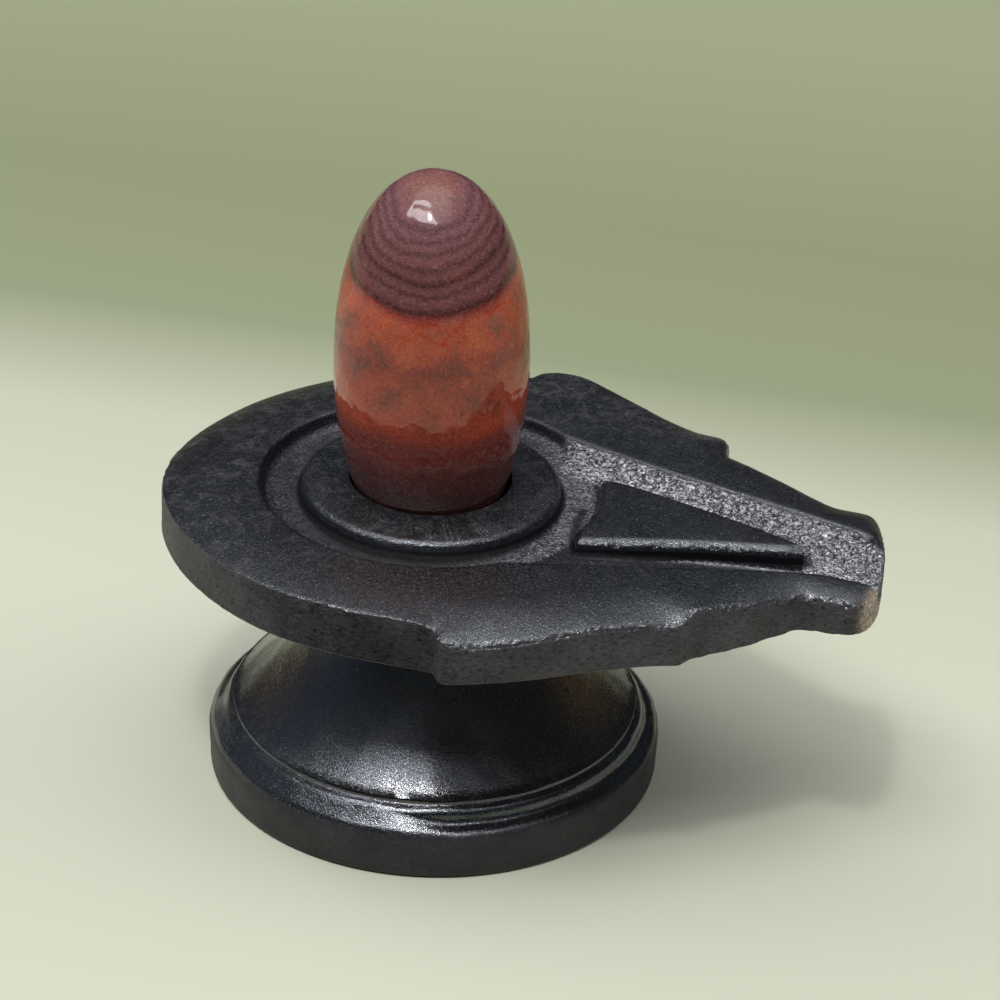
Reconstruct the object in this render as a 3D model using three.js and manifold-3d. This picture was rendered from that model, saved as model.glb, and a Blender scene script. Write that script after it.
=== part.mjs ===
// Shiva lingam stone: a polished egg-shaped river stone that stands in the socket of a carved
// black-stone base (yoni, or jalhari): a turned pedestal under a plate with a collar, a ring
// groove and a spout that drains it.
// Millimetres, +Z up. The origin is the middle of the foot's underside; the spout runs along +X.
import * as THREE from 'three';
import { mergeVertices } from 'three/addons/utils/BufferGeometryUtils.js';
import Module from 'manifold-3d';

const wasm = await Module();
wasm.setup();
const { degToRad } = THREE.MathUtils;

// ---------------------------------------------------------------- driving dimensions

// Stone: two half ellipsoids that meet at its widest level, cut off by a small flat rest spot.
const STONE_RADIUS = 20.1;
const STONE_UPPER = 41.1;          // widest level to the top
const STONE_LOWER = 43.7;          // widest level to the full lower end
const STONE_UPPER_POWER = 2.18;    // over 2 is blunter than an ellipse
const STONE_FLAT_RADIUS = 3.4;
const STONE_FOOT = [-2.2, 0.0, 49.1];                  // the full lower end
const STONE_LEAN = [degToRad(-1.6), degToRad(-0.74)];  // about X and Y, from upright

// Pedestal, from the floor up.
const FOOT_RADIUS = 48.5;
const FOOT_WALL = 9.4;
const LEDGE_Z = 11.5;
const BEAD_RADIUS = 43.8;          // the lip that ends the flared flank
const BEAD_Z = 16.0;
const WAIST_RADIUS = 21.5;
const WAIST_Z = 46.0;
const FLANK_POWER = 1.7;           // how strongly the flank curves in
const HEAD_RADIUS = 27.5;          // under the plate

// Plate, in its own frame: its top is z = 0 and its centre is the collar's.
const PLATE_CENTRE = [-1.8, -0.5, 66.8];
const PLATE_FALL = degToRad(1.1);  // it falls towards the spout, so that it drains
const PLATE_ROLL = degToRad(0.75); // and rises a little towards +Y
const PLATE_THICK = 11.9;
const TIP_THICK = 8.0;
const TIP_X = 96.0;
const TAPER_START_X = 62.0;        // the underside rises from here to the tip
const EDGE_BEVEL = 1.2;            // of the plate's edges, seen from above
const EDGE_DROP = 1.5;             // of the same bevel, seen from the side
const DISC_CENTRE = [-0.3, -1.0];
const DISC_EDGE = [                // [degrees, radius]: cut by hand, fuller on the left
  [98, 53.3], [115, 53.1], [132, 53.0], [148, 53.0], [162, 53.3], [175, 54.2], [187, 55.1],
  [199, 55.2], [211, 54.4], [223, 53.7], [237, 53.3], [252, 53.3], [268, 53.5],
];

// Collar, ring groove, channels and the island between them.
const COLLAR_RADIUS = 27.0;
const GROOVE_RADIUS = 35.4;
const GROOVE_DEPTH = 3.2;
const GROOVE_DRAFT = 0.7;          // how far each groove wall leans out of plumb
const CHANNEL_DEPTH = 6.3;         // at the mouth
const CHANNEL_START_X = 33.0;
const CHANNEL_ANGLE = degToRad(52);  // where the channels leave the ring groove

// Socket.
const SOCKET_CLEARANCE = 0.75;     // all round the stone
const SOCKET_SHIFT = [0.25, 0.35]; // the stone stands off centre in its socket
const SEAT_GAP = 0.3;              // under the stone

const STONE_TURNS = 48;            // facets round the stone and its socket
const BASE_TURNS = 64;             // facets round the pedestal and the groove

// ---------------------------------------------------------------- helpers

/** A closed solid from a closed three.js geometry. */
function solid(geometry) {
  const bare = geometry.clone();
  bare.deleteAttribute('normal');
  bare.deleteAttribute('uv');
  const merged = mergeVertices(bare, 1e-4);
  const corners = [];
  for (let i = 0; i < merged.index.count; i += 3) {
    const [a, b, c] = [0, 1, 2].map((k) => merged.index.getX(i + k));
    if (a !== b && b !== c && c !== a) corners.push(a, b, c);
  }
  return new wasm.Manifold(new wasm.Mesh({
    numProp: 3,
    vertProperties: new Float32Array(merged.attributes.position.array),
    triVerts: new Uint32Array(corners),
  }));
}

/** A three.js geometry from a solid. */
function geometryOf(body) {
  const { vertProperties, triVerts } = body.getMesh();
  const geometry = new THREE.BufferGeometry();
  geometry.setAttribute('position', new THREE.BufferAttribute(vertProperties, 3));
  geometry.setIndex(new THREE.BufferAttribute(triVerts, 1));
  geometry.computeVertexNormals();
  return geometry;
}

/** A shape turned about the Z axis from [radius, z] points, listed from the bottom up. */
function turned(profile, turns) {
  const points = profile.map(([radius, z]) => new THREE.Vector2(radius, z));
  return new THREE.LatheGeometry(points, turns).rotateX(Math.PI / 2);
}

/** Points of a smooth curve through the given [x, y] points. */
function curve(points, steps) {
  return new THREE.SplineCurve(points.map(([x, y]) => new THREE.Vector2(x, y))).getPoints(steps);
}

/** Moves a geometry from the plate's own frame to the part's frame. */
function onPlate(geometry) {
  return geometry.rotateY(PLATE_FALL).rotateX(PLATE_ROLL).translate(...PLATE_CENTRE);
}

// ---------------------------------------------------------------- the stone

/** Radius of the stone's lower half at a height over its full lower end. */
function lowerRadius(height) {
  const drop = (STONE_LOWER - height) / STONE_LOWER;
  return STONE_RADIUS * Math.sqrt(Math.max(0, 1 - drop * drop));
}

const flatHeight = STONE_LOWER * (1 - Math.sqrt(1 - (STONE_FLAT_RADIUS / STONE_RADIUS) ** 2));

/** The stone's axis: its lower end at the origin, then leaned and set down on STONE_FOOT. */
const seat = new THREE.Matrix4()
  .makeRotationFromEuler(new THREE.Euler(STONE_LEAN[0], STONE_LEAN[1], 0))
  .setPosition(...STONE_FOOT);

function stoneGeometry() {
  const profile = [[0, flatHeight]];
  const lowerRings = 12;
  const firstAngle = Math.asin((flatHeight - STONE_LOWER) / STONE_LOWER);
  for (let i = 0; i <= lowerRings; i += 1) {
    const angle = firstAngle * (1 - i / lowerRings);
    profile.push([STONE_RADIUS * Math.cos(angle), STONE_LOWER * (1 + Math.sin(angle))]);
  }
  const upperRings = 13;
  const power = 2 / STONE_UPPER_POWER;
  for (let i = 1; i < upperRings; i += 1) {
    const angle = (Math.PI / 2) * (i / upperRings);
    const radius = STONE_RADIUS * Math.cos(angle) ** power;
    profile.push([radius, STONE_LOWER + STONE_UPPER * Math.sin(angle) ** power]);
  }
  profile.push([0, STONE_LOWER + STONE_UPPER]);
  return turned(profile, STONE_TURNS).applyMatrix4(seat);
}

// ---------------------------------------------------------------- the base

function pedestalGeometry() {
  const foot = [
    [0, 0],
    [FOOT_RADIUS - 0.9, 0],
    [FOOT_RADIUS, 0.9],
    [FOOT_RADIUS + 0.4, FOOT_WALL],
    [FOOT_RADIUS - 0.2, FOOT_WALL + 1.4],
    [FOOT_RADIUS - 1.5, LEDGE_Z],
  ];
  const bead = [
    [BEAD_RADIUS + 1.2, LEDGE_Z + 0.1],
    [BEAD_RADIUS + 0.2, LEDGE_Z + 1.2],
    [BEAD_RADIUS - 0.2, BEAD_Z - 2.0],
    [BEAD_RADIUS, BEAD_Z - 0.6],
    [BEAD_RADIUS - 0.5, BEAD_Z],
  ];
  const flank = [];
  const flankSteps = 8;
  for (let i = 1; i <= flankSteps; i += 1) {
    const rise = i / flankSteps;
    const spread = (BEAD_RADIUS - 0.5 - WAIST_RADIUS) * (1 - rise) ** FLANK_POWER;
    flank.push([WAIST_RADIUS + spread, BEAD_Z + (WAIST_Z - BEAD_Z) * rise]);
  }
  const headZ = PLATE_CENTRE[2] - PLATE_THICK + 2;
  const head = [];
  const headSteps = 3;
  for (let i = 1; i <= headSteps; i += 1) {
    const rise = i / headSteps;
    const radius = WAIST_RADIUS + (HEAD_RADIUS - WAIST_RADIUS) * rise ** 2;
    head.push([radius, WAIST_Z + (headZ - WAIST_Z) * rise]);
  }
  return turned([...foot, ...bead, ...flank, ...head, [0, headZ]], BASE_TURNS);
}

/** The plate's outline: a hand-cut disc and two stepped shoulders that narrow to a waist,
 *  then flare into the lip of the spout. */
function plateOutline() {
  const nearShoulder = curve(
    [[16.0, -55.0], [17.2, -57.2], [20.2, -57.9], [32.6, -52.4], [43.0, -46.0], [53.6, -39.9],
      [61.0, -36.9]],
    20,
  );
  const spout = curve(
    [[62.7, -33.6], [71.2, -28.2], [77.6, -22.6], [81.6, -19.5], [86.2, -19.9], [91.0, -20.1],
      [94.6, -17.6], [TIP_X - 0.1, -12.4], [TIP_X - 0.2, -6.0], [95.0, 2.0], [93.4, 9.4],
      [91.3, 15.6], [88.6, 18.0], [82.4, 17.7], [78.0, 19.6], [70.5, 24.4], [62.2, 29.2],
      [56.9, 32.4]],
    51,
  );
  const farShoulder = curve(
    [[56.3, 37.6], [54.0, 40.8], [48.6, 41.3], [42.6, 43.6], [36.4, 47.0], [26.9, 53.2],
      [20.0, 57.4], [14.6, 58.3], [10.4, 56.8], [8.4, 53.8]],
    27,
  );
  const discPoints = DISC_EDGE.map(([angle, radius]) => [
    DISC_CENTRE[0] + radius * Math.cos(degToRad(angle)),
    DISC_CENTRE[1] + radius * Math.sin(degToRad(angle)),
  ]);
  const disc = curve(discPoints, 40);
  return [...nearShoulder, ...spout, ...farShoulder, ...disc];
}

function plateGeometry() {
  const body = new THREE.ExtrudeGeometry(new THREE.Shape(plateOutline()), {
    depth: PLATE_THICK - 2 * EDGE_DROP,
    bevelThickness: EDGE_DROP,
    bevelSize: EDGE_BEVEL,
    bevelOffset: -EDGE_BEVEL,
    bevelSegments: 1,
  });
  return body.translate(0, 0, EDGE_DROP - PLATE_THICK);
}

/** What is cut away under the spout, so that it thins towards its tip. */
function underCutGeometry() {
  const length = 60;
  const width = 80;
  const height = 20;
  const slope = Math.atan2(PLATE_THICK - TIP_THICK, TIP_X - TAPER_START_X);
  return new THREE.BoxGeometry(length, width, height)
    .translate(length / 2, 0, -height / 2)
    .rotateY(-slope)
    .translate(TAPER_START_X, 0, -PLATE_THICK);
}

function grooveGeometry() {
  const above = 1;
  return turned([
    [COLLAR_RADIUS, above],
    [COLLAR_RADIUS, 0],
    [COLLAR_RADIUS + GROOVE_DRAFT, -GROOVE_DEPTH],
    [GROOVE_RADIUS - GROOVE_DRAFT, -GROOVE_DEPTH],
    [GROOVE_RADIUS, 0],
    [GROOVE_RADIUS, above],
    [COLLAR_RADIUS, above],
  ], BASE_TURNS);
}

/** The two channels: one cut from the ring groove to the lip, round an island left standing. */
function channelGeometry() {
  const start = (COLLAR_RADIUS + GROOVE_RADIUS) / 2;
  const inGroove = new THREE.EllipseCurve(0, 0, start, start, CHANNEL_ANGLE, -CHANNEL_ANGLE, true);
  const nearEdge = curve(
    [[21.8, -27.9], [50.7, -19.9], [79.7, -12.4], [90.0, -12.2], [TIP_X + 4, -14.0]],
    14,
  );
  const farEdge = curve(
    [[TIP_X + 4, -3.4], [94.2, 1.4], [91.6, 4.8], [88.4, 7.3], [64.7, 14.4], [42.2, 20.9],
      [22.0, 28.0]],
    16,
  );
  const islandEnd = curve([[34.3, -15.3], [32.7, -9.0], [32.0, 1.0], [33.6, 12.4]], 8);
  const islandFar = curve([[37.3, 13.0], [46.4, 10.6], [64.4, 4.8], [77.7, -0.4], [79.6, -2.4]], 10);
  const islandNear = curve([[76.3, -4.4], [58.5, -8.2], [38.5, -14.1]], 6);
  const shape = new THREE.Shape([...inGroove.getPoints(10), ...nearEdge, ...farEdge]);
  shape.holes.push(new THREE.Path([...islandEnd, ...islandFar, ...islandNear]));
  const slope = Math.atan2(CHANNEL_DEPTH - GROOVE_DEPTH, TIP_X - CHANNEL_START_X);
  return new THREE.ExtrudeGeometry(shape, { depth: 16, bevelEnabled: false })
    .translate(-CHANNEL_START_X, 0, 0)
    .rotateY(slope)
    .translate(CHANNEL_START_X, 0, -GROOVE_DEPTH);
}

/** The socket: a bowl bored along the stone's axis, with a flat floor under its flat spot. */
function socketGeometry() {
  const floor = flatHeight - SEAT_GAP;
  const mouth = PLATE_CENTRE[2] - STONE_FOOT[2] + 2;
  const first = floor + 0.6;
  const steps = 9;
  const profile = [[0, floor], [STONE_FLAT_RADIUS + 1.2, floor]];
  for (let i = 0; i <= steps; i += 1) {
    const height = first + (mouth - first) * (i / steps);
    profile.push([lowerRadius(height + SEAT_GAP) + SOCKET_CLEARANCE, height]);
  }
  profile.push([0, mouth]);
  return turned(profile, STONE_TURNS).translate(...SOCKET_SHIFT, 0).applyMatrix4(seat);
}

function baseGeometry() {
  const plate = solid(onPlate(plateGeometry()))
    .subtract(solid(onPlate(underCutGeometry())))
    .subtract(solid(onPlate(grooveGeometry())))
    .subtract(solid(onPlate(channelGeometry())));
  return geometryOf(solid(pedestalGeometry()).add(plate).subtract(solid(socketGeometry())));
}

// ---------------------------------------------------------------- the scene graph

const polishedStone = new THREE.MeshStandardMaterial({
  color: '#7d3a29', roughness: 0.12, metalness: 0,
});
const blackStone = new THREE.MeshStandardMaterial({
  color: '#2a2c30', roughness: 0.45, metalness: 0,
});

const stone = new THREE.Mesh(stoneGeometry(), polishedStone);
stone.name = 'lingam_stone';

const base = new THREE.Mesh(baseGeometry(), blackStone);
base.name = 'yoni_base';

const part = new THREE.Group();
part.add(base, stone);

export default part;
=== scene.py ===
import math

import bpy
import numpy as np
from mathutils import Matrix, Vector
from mathutils.kdtree import KDTree


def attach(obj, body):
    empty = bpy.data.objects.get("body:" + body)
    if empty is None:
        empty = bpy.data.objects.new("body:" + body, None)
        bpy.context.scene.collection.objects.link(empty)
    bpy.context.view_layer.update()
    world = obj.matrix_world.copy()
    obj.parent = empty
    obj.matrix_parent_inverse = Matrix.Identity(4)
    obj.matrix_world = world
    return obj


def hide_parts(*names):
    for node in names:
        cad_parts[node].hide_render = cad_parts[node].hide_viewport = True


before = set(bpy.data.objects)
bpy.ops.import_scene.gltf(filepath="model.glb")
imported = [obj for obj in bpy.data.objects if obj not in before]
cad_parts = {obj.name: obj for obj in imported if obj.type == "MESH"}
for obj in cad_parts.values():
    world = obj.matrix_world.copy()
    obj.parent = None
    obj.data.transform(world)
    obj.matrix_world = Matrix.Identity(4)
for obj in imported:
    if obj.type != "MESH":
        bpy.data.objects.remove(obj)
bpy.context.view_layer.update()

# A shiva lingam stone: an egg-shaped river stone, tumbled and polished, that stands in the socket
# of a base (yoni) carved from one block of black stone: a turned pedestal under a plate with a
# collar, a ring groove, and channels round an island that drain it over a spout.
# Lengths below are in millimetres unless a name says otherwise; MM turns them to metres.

MM = 0.001

# ------------------------------------------------------------------ sizes

STONE_RADIUS = 20.1
STONE_UPPER = 41.08           # widest level to the top
STONE_LOWER = 43.7            # widest level to the full lower end
STONE_UPPER_POWER = 2.18      # over 2 is blunter than an ellipse
STONE_FLAT_RADIUS = 3.4       # the small flat it rests on
STONE_FOOT = (-2.2, 0.0, 49.1)
STONE_LEAN = (math.radians(-1.6), math.radians(-0.74))

SOCKET_FLOOR_GAP = 0.3        # between the socket and the stone, under it and round it
SOCKET_SIDE_GAP = 0.75
SOCKET_SHIFT = (0.25, 0.35)   # the socket's middle from the stone's

FLANK_START = (43.2, 16.1)    # where the flank rises from the lip
FLANK_POWER = 1.95            # how hollow it is
WAIST_RADIUS = 21.0
WAIST_Z = 50.0
HEAD_RADIUS = 24.0            # under the plate
HEAD_Z = 56.9                 # its flat end is inside the plate
BEAD = (44.6, 14.3)           # radius and height where the worn ledge leaves the bead
FOOT_EDGE_RADIUS = 48.3
LEDGE_SLOPE = 0.98
WORN_LEDGE_SIDE = 238         # degrees round from +X
TURNS = 192                   # steps round a turned shape

PLATE_CENTRE = (-1.8, -0.5, 66.8)
PLATE_FALL = math.radians(1.1)
PLATE_ROLL = math.radians(0.75)
PLATE_THICK = 11.9
RUBBED_WALL = 9.0             # how far down the plate's wall the rubbing went
TAPER_START_X = 62.0
TAPER_SLOPE = math.atan2(3.9, 34.0)
PLATE_VOXEL = 0.55
CALM_FACES_REMOVED = 0.93     # share of the faces of the plate's flat parts
# Width and depth of the wear on the edges of the collar, groove, island and channel sides.
EDGE_WEAR = [(1.2, 0.75), (0.8, 0.4), (1.5, 1.0), (0.8, 0.4), (0.8, 0.4)]

COLLAR_RADIUS = 27.0
GROOVE_RADIUS = 35.4
GROOVE_DEPTH = 3.2
CHANNEL_START_X = 33.0
CHANNEL_SLOPE = math.atan2(3.1, 63.0)
CHANNEL_REACH = 52.0          # degrees each way where the channels leave the ring groove
FAR_WALL_LEAN = math.tan(math.radians(36))
FAR_WALL_OUT = (0.28, 0.96, 0)
ISLAND_TIP = (78.8, -1.6)
TOE_REACH = 4.0               # how far round the tip the island's wall spreads into a toe
TOE_LEAN = 0.5

# ------------------------------------------------------------------ outlines, in the plate's frame

DISC_CENTRE = (-0.3, -1.0)
DISC_EDGE = [                 # degrees, radius
    (98, 53.3), (115, 53.1), (132, 53.0), (148, 53.0), (162, 53.3), (175, 54.2), (187, 55.1),
    (199, 55.2), (211, 54.4), (223, 53.7), (237, 53.3), (252, 53.3), (268, 53.5),
]
NEAR_SHOULDER = [
    (16.0, -55.0), (17.2, -57.2), (20.2, -57.9), (32.6, -52.4), (43.0, -46.0), (53.6, -39.9),
    (61.0, -36.9),
]
SPOUT = [
    (62.7, -33.6), (71.2, -28.2), (77.6, -22.6), (81.6, -19.5), (86.2, -19.9), (91.0, -20.1),
    (94.6, -17.6), (95.9, -12.4), (95.8, -6.0), (95.0, 2.0), (93.4, 9.4), (91.3, 15.6),
    (88.6, 18.0), (82.4, 17.7), (78.0, 19.6), (70.5, 24.4), (62.2, 29.2), (56.9, 32.4),
]
FAR_SHOULDER = [
    (56.3, 37.6), (54.0, 40.8), (48.6, 41.3), (42.6, 43.6), (36.4, 47.0), (26.9, 53.2),
    (20.0, 57.4), (14.6, 58.2), (10.4, 56.8), (8.4, 53.8),
]
CHANNEL_NEAR = [(21.8, -27.9), (50.7, -19.9), (79.7, -12.4), (90.0, -12.2), (100.0, -14.0)]
CHANNEL_FAR = [
    (100.0, -3.4), (94.2, 1.4), (91.6, 4.8), (88.4, 7.3), (64.7, 14.4), (42.2, 20.9), (22.0, 28.0),
]
ISLAND_END = [(34.3, -15.3), (32.7, -9.0), (32.0, 1.0), (33.6, 12.4)]
ISLAND_FAR = [(37.3, 13.0), (46.4, 10.6), (64.4, 4.8), (77.7, -0.4), (79.6, -2.4)]
ISLAND_NEAR = [(76.3, -4.4), (58.5, -8.2), (38.5, -14.1)]

# The part of the far channel that the chisel pecked: its near and far sides, as (x, y), and how
# hard it was struck, as (x, force). The force sets how deep the pecks go and how pale the crushed
# colour is; its rise and fall along the channel follow where the channel catches more light, so
# the paleness is partly painted light.
PECKED_NEAR = [(20, 19), (37, 13), (46.4, 10.6), (64.4, 4.8), (77.7, -0.6), (80, -4.6), (83, -13)]
PECKED_FAR = [(20, 29), (42.2, 20.9), (64.7, 14.4), (88.4, 7.3), (94.2, 1.8), (97, 0)]
PECK_FORCE_AND_PAINTED_LIGHT = [(26, 0.8), (38, 1.0), (52, 0.95), (66, 0.7), (78, 0.65), (88, 0.9)]
PECKED_RING_RADIUS = 31.3     # middle of the ring groove's floor

# How far the plate's top has been rubbed down at its rim: place on the rim, drop there, and how
# far in from the rim the drop starts.
RIM_ROLL = [
    (-54.0, 0.0, 2.0, 12.5), (-46.0, -28.0, 1.9, 12.5), (-30.0, -45.0, 1.4, 12),
    (-8.0, -54.0, 1.1, 11.5), (13.0, -53.5, 1.0, 11.5), (17.5, -57.0, 2.6, 14),
    (24.0, -56.0, 3.3, 14.5), (33.0, -52.0, 2.8, 13.5),
    (45.0, -45.0, 1.9, 12), (54.0, -39.7, 2.4, 12), (60.5, -37.0, 3.0, 12), (63.0, -33.3, 0.4, 6),
    (71.0, -28.3, 1.0, 7.5), (77.5, -22.7, 1.7, 8), (82.0, -19.6, 1.9, 7.5), (91.0, -20.0, 1.6, 7),
    (94.6, -17.6, 2.2, 6), (95.9, -12.0, 1.4, 3), (95.0, 2.0, 0.8, 2), (93.0, 10.0, 1.4, 3),
    (88.6, 18.0, 1.6, 7), (80.0, 18.6, 0.8, 7), (62.0, 29.3, 0.7, 7.5), (56.5, 36.0, 1.2, 7.5),
    (54.0, 40.8, 1.4, 8), (36.0, 47.0, 0.4, 8), (16.0, 58.0, 0.4, 8), (-8.0, 52.0, 0.6, 9.5),
    (-22.0, 47.0, 1.2, 11), (-38.0, 37.0, 2.0, 12.5), (-50.0, 18.0, 2.1, 12.5),
]

# ------------------------------------------------------------------ small helpers


def smooth_run(points, steps):
    """Points of a smooth curve through the given ones."""
    ends = [points[0], *points, points[-1]]
    run = []
    for a, b, c, d in zip(ends, ends[1:], ends[2:], ends[3:]):
        for t in (i / steps for i in range(steps)):
            run.append(tuple(
                0.5 * (2 * q + (r - p) * t + (2 * p - 5 * q + 4 * r - s) * t**2
                       + (3 * q - p - 3 * r + s) * t**3)
                for p, q, r, s in zip(a, b, c, d)
            ))
    return [*run, tuple(points[-1])]


def pick(obj):
    """Makes obj the only selected object."""
    bpy.ops.object.select_all(action="DESELECT")
    obj.select_set(True)
    bpy.context.view_layer.objects.active = obj


def modify(obj, kind, **settings):
    """Adds a modifier to obj and applies it."""
    pick(obj)
    modifier = obj.modifiers.new(kind.lower(), kind)
    for name, value in settings.items():
        setattr(modifier, name, value)
    bpy.ops.object.modifier_apply(modifier=modifier.name)


def settle(obj, place, turn):
    """Turns obj about Y, then about X, moves it to its place and fixes that in its mesh."""
    pick(obj)
    obj.rotation_mode = "YXZ"
    obj.rotation_euler = (turn[0], turn[1], 0)
    obj.location = Vector(place) * MM
    bpy.ops.object.transform_apply(location=True, rotation=True, scale=True)


def places(obj):
    """The obj's vertices, in mm."""
    flat = np.empty(len(obj.data.vertices) * 3, np.float32)
    obj.data.vertices.foreach_get("co", flat)
    return flat.reshape(-1, 3).astype(float) / MM


def normals(obj):
    """The obj's vertex normals."""
    flat = np.empty(len(obj.data.vertices) * 3, np.float32)
    obj.data.vertex_normals.foreach_get("vector", flat)
    return flat.reshape(-1, 3).astype(float)


def ease(values, start, end):
    """0 at start, 1 at end, smooth between."""
    t = np.clip((values - start) / (end - start), 0, 1)
    return t * t * (3 - 2 * t)


def along(line, x):
    """Second number of a line of pairs, at each x."""
    return np.interp(x, *zip(*line))


def radii(here):
    """Distance of each point from the Z axis."""
    return np.hypot(here[:, 0], here[:, 1])


def degrees_from(here, side):
    """How many degrees round the Z axis each point is from a side."""
    angle = np.degrees(np.arctan2(here[:, 1], here[:, 0]))
    return np.abs((angle - side + 180) % 360 - 180)


def weigh(obj, name, weights):
    """Gives obj a vertex group with a weight from 0 to 1 at each vertex."""
    group = obj.vertex_groups.new(name=name)
    for i in np.nonzero(weights > 0.001)[0]:
        group.add([int(i)], float(min(1.0, weights[i])), "REPLACE")
    return name


def roughen(obj, texture, group, depth, middle):
    """Pushes a group's surface in and out by a texture, over `depth` mm; at `middle` it stays."""
    modify(obj, "DISPLACE", direction="NORMAL", strength=depth * MM, mid_level=middle,
           texture=texture, vertex_group=group)


def noise_texture(name, kind, size, **settings):
    """A procedural texture whose features are about `size` mm across."""
    texture = bpy.data.textures.new(name, kind)
    texture.noise_scale = size * MM
    for key, value in settings.items():
        setattr(texture, key, value)
    return texture


def turned(name, profile, turns=TURNS):
    """A closed shape turned about the Z axis from (radius, height) points."""
    bpy.ops.object.select_all(action="DESELECT")
    bpy.ops.mesh.primitive_plane_add(size=MM, location=(0, 0, 0))
    obj = bpy.context.object
    obj.name = name
    bpy.ops.object.mode_set(mode="EDIT")
    bpy.ops.mesh.select_mode(type="VERT")
    bpy.ops.mesh.select_all(action="SELECT")
    bpy.ops.mesh.merge(type="CENTER")
    bpy.ops.mesh.select_all(action="SELECT")
    bpy.ops.transform.translate(value=(profile[0][0] * MM, 0, profile[0][1] * MM))
    for (r0, z0), (r1, z1) in zip(profile, profile[1:]):
        step = ((r1 - r0) * MM, 0, (z1 - z0) * MM)
        bpy.ops.mesh.extrude_vertices_move(TRANSFORM_OT_translate={"value": step})
    bpy.ops.mesh.select_all(action="SELECT")
    bpy.ops.mesh.spin(steps=turns, angle=2 * math.pi, center=(0, 0, 0), axis=(0, 0, 1))
    bpy.ops.mesh.select_all(action="SELECT")
    bpy.ops.mesh.remove_doubles(threshold=0.002 * MM)
    bpy.ops.mesh.normals_make_consistent(inside=False)
    bpy.ops.object.mode_set(mode="OBJECT")
    return obj


def flat_shape(name, outlines, low, high):
    """An upright solid between two heights from flat outlines; those after the first are holes."""
    curve = bpy.data.curves.new(name, "CURVE")
    curve.dimensions = "2D"
    curve.fill_mode = "BOTH"
    curve.extrude = (high - low) / 2 * MM
    for outline in outlines:
        spline = curve.splines.new("POLY")
        spline.points.add(len(outline) - 1)
        for point, (x, y) in zip(spline.points, outline):
            point.co = (x * MM, y * MM, 0, 1)
        spline.use_cyclic_u = True
    obj = bpy.data.objects.new(name, curve)
    bpy.context.scene.collection.objects.link(obj)
    pick(obj)
    bpy.ops.object.convert(target="MESH")
    obj = bpy.context.object
    bpy.ops.object.mode_set(mode="EDIT")
    bpy.ops.mesh.select_all(action="SELECT")
    bpy.ops.mesh.remove_doubles(threshold=0.01 * MM)
    bpy.ops.mesh.normals_make_consistent(inside=False)
    bpy.ops.transform.translate(value=(0, 0, (high + low) / 2 * MM))
    bpy.ops.object.mode_set(mode="OBJECT")
    return obj


def cut(obj, cutter):
    """Cuts the cutter's shape out of obj and throws the cutter away."""
    modify(obj, "BOOLEAN", operation="DIFFERENCE", object=cutter, solver="MANIFOLD")
    bpy.data.objects.remove(cutter)


def finder(points):
    """A search tree over (x, y) points."""
    tree = KDTree(len(points))
    for i, (x, y) in enumerate(points):
        tree.insert((x, y, 0), i)
    tree.balance()
    return tree


def dense(line, closed=False, spacing=0.2):
    """Points every `spacing` along a line of (x, y) points."""
    pts = np.array([*line, line[0]] if closed else line, float)
    out = []
    for a, b in zip(pts, pts[1:]):
        n = max(1, int(np.hypot(*(b - a)) / spacing))
        out += [tuple(a + (b - a) * i / n) for i in range(n)]
    return [*out, tuple(pts[-1])]


# ------------------------------------------------------------------ the plate

disc = [
    (DISC_CENTRE[0] + r * math.cos(math.radians(a)),
     DISC_CENTRE[1] + r * math.sin(math.radians(a)))
    for a, r in DISC_EDGE
]
OUTLINE = [
    *smooth_run(NEAR_SHOULDER, 7), *smooth_run(SPOUT, 6), *smooth_run(FAR_SHOULDER, 6),
    *smooth_run(disc, 10),
]
ISLAND = [*smooth_run(ISLAND_END, 6), *smooth_run(ISLAND_FAR, 6), *smooth_run(ISLAND_NEAR, 6)]


def lean_channel_walls(cutter):
    """Leans the far wall back as the chisel left it, and draws the island's tip out to a toe."""
    far = finder(dense(smooth_run(CHANNEL_FAR, 8)))
    for vertex in cutter.data.vertices:
        x, y, z = vertex.co / MM
        at = (x + CHANNEL_START_X, y)
        depth = GROOVE_DEPTH + (at[0] - CHANNEL_START_X) * math.tan(CHANNEL_SLOPE)
        if far.find((*at, 0))[2] < 0.3:
            out = (z - depth) * FAR_WALL_LEAN
            vertex.co += Vector(FAR_WALL_OUT) * out * MM
        toe = math.dist(at, ISLAND_TIP)
        if toe < TOE_REACH:
            vertex.co.x -= (z - depth) * TOE_LEAN * (1 - toe / TOE_REACH) * MM


def channel_cutter():
    """The two channels and the spout's mouth, round the island, falling towards the mouth."""
    start = (COLLAR_RADIUS + GROOVE_RADIUS) / 2
    arc = [
        (start * math.cos(math.radians(a)), start * math.sin(math.radians(a)))
        for a in np.linspace(CHANNEL_REACH, -CHANNEL_REACH, 12)
    ]
    way = [*arc, *smooth_run(CHANNEL_NEAR, 5), *smooth_run(CHANNEL_FAR, 5)]
    holes = [[(x - CHANNEL_START_X, y) for x, y in line] for line in (way, ISLAND)]
    cutter = flat_shape("channel_cutter", holes, 0, 16)
    lean_channel_walls(cutter)
    settle(cutter, (CHANNEL_START_X, 0, -GROOVE_DEPTH), (0, CHANNEL_SLOPE))
    return cutter


def groove_cutter():
    """The ring groove between the collar and the plate's top."""
    inner, outer = COLLAR_RADIUS, GROOVE_RADIUS
    floor = -GROOVE_DEPTH
    return turned("groove_cutter", [
        (inner, 1), (inner, -0.2), (inner + 0.2, floor + 0.5), (inner + 0.5, floor),
        (outer - 2.4, floor), (outer - 1.0, floor + 0.5), (outer - 0.3, floor + 1.6),
        (outer, -0.2), (outer, 1), (inner, 1),
    ])


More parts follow.
